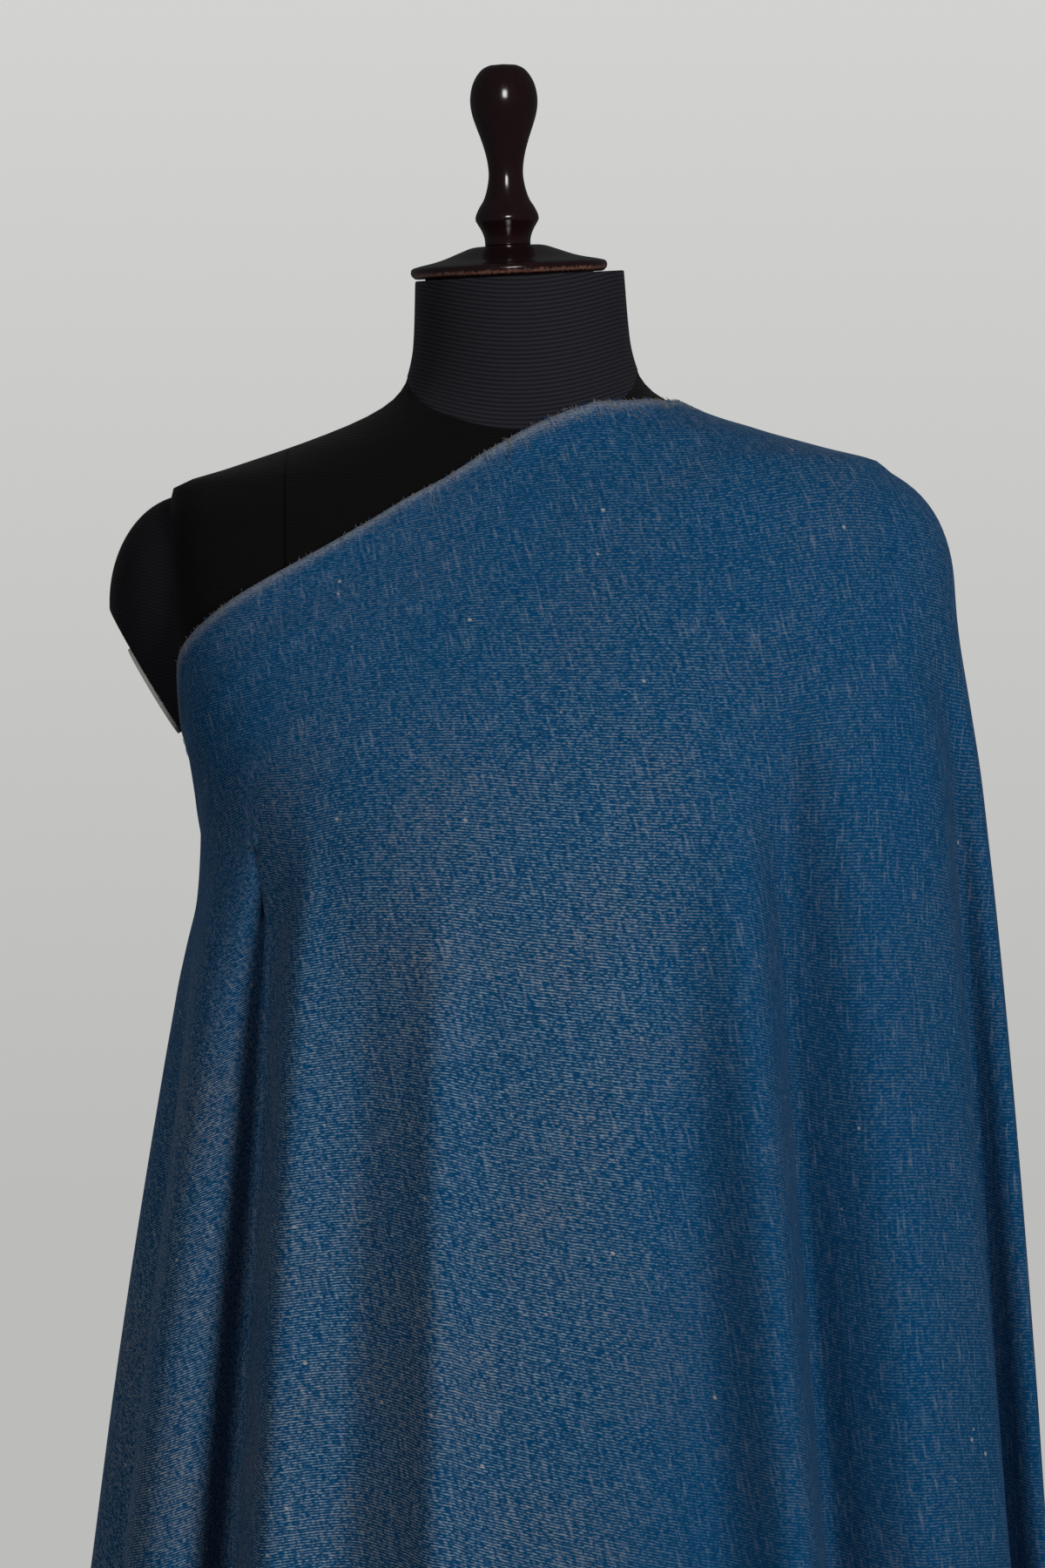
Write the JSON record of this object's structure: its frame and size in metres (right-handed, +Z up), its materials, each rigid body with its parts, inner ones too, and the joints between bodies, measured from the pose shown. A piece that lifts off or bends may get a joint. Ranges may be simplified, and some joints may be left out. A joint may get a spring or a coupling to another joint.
{
  "type": "pashmina shawl on a dress form",
  "caption": "Wide wool shawl draped over one shoulder and under the other arm of a limbless dress form on a round base, hanging in soft folds.",
  "frame": {"origin": "centre of the underside of the round base, on the floor", "axes": "+Z up the post, the form faces -Y, its left arm, which carries the shawl, is at +X"},
  "size_m": [0.6078, 0.438, 1.5398],
  "materials": {
    "cloth": "fine brushed wool twill, blue warp with a beige weft",
    "jersey": "black ribbed jersey",
    "board": "plain off-white board",
    "turned_wood": "dark mahogany, gloss lacquer",
    "stand_metal": "black satin paint",
    "base_iron": "black satin paint"
  },
  "bodies": {
    "root": {"shawl_wrap_end": "cloth", "shawl_front": "cloth", "shawl_shoulder": "cloth", "shawl_back": "cloth", "form_body": "jersey", "form_arm_cap_left": "jersey", "form_arm_cap_right": "jersey", "form_arm_plate_left": "board", "form_arm_plate_right": "board", "form_neck_cap": "turned_wood", "form_knob": "turned_wood", "form_collar": "stand_metal", "form_post": "stand_metal", "form_base": "base_iron"}
  },
  "joints": []
}
